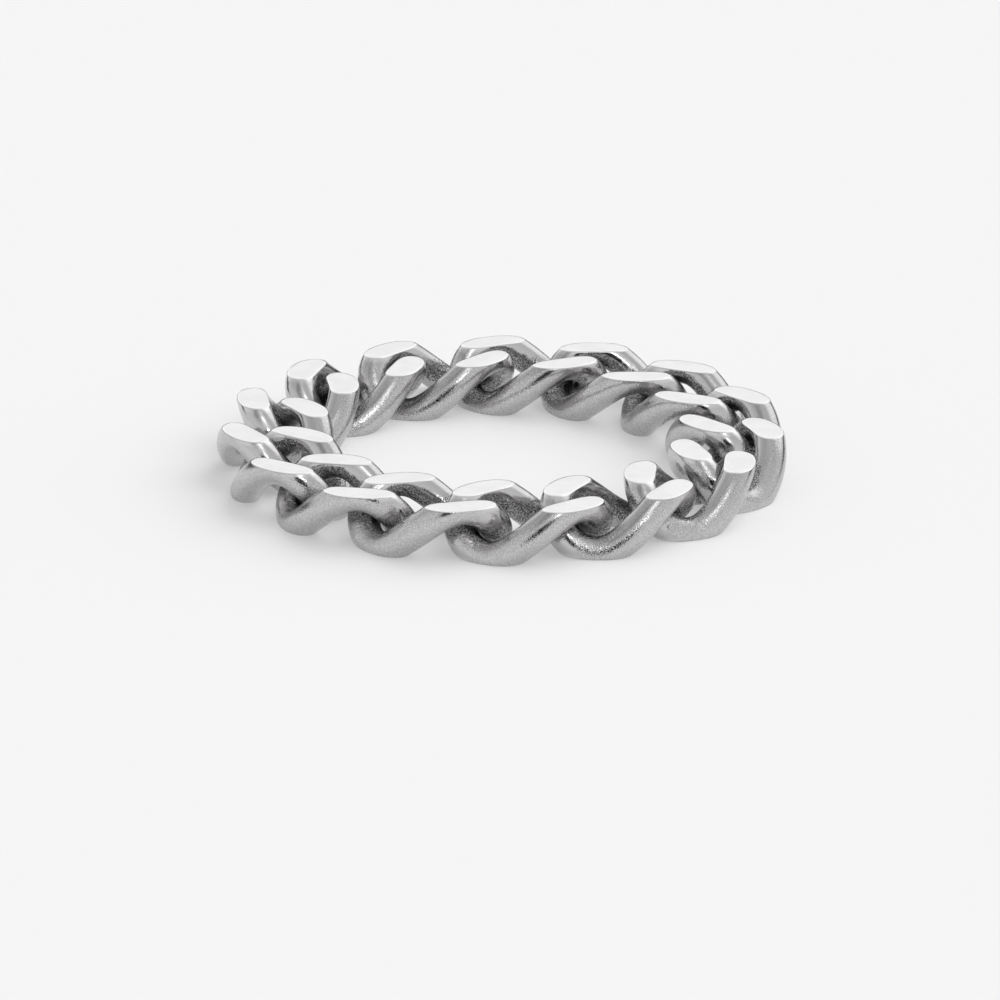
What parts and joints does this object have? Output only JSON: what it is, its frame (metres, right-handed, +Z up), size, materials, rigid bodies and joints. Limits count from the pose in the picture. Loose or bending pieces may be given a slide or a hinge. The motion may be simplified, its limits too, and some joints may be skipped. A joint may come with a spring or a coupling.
{
  "type": "curb chain finger ring",
  "caption": "Finger ring made of a closed loop of separate interlocked twisted curb links, ground flat and polished above and below.",
  "frame": {"origin": "On the axis through the finger's hole, at the surface the ring lies on.", "axes": "+Z up along the axis of the finger's hole, square to the ground flats. The first link's middle is at -108 degrees from +X, and the links are numbered from it counter-clockwise seen from above."},
  "size_m": [0.028, 0.028, 0.0027],
  "materials": {
    "steel": "polished flats, satin grained sides"
  },
  "bodies": {
    "root": {"link_01": "steel", "link_02": "steel", "link_03": "steel", "link_04": "steel", "link_05": "steel", "link_06": "steel", "link_07": "steel", "link_08": "steel", "link_09": "steel", "link_10": "steel", "link_11": "steel", "link_12": "steel", "link_13": "steel", "link_14": "steel", "link_15": "steel"}
  },
  "joints": []
}
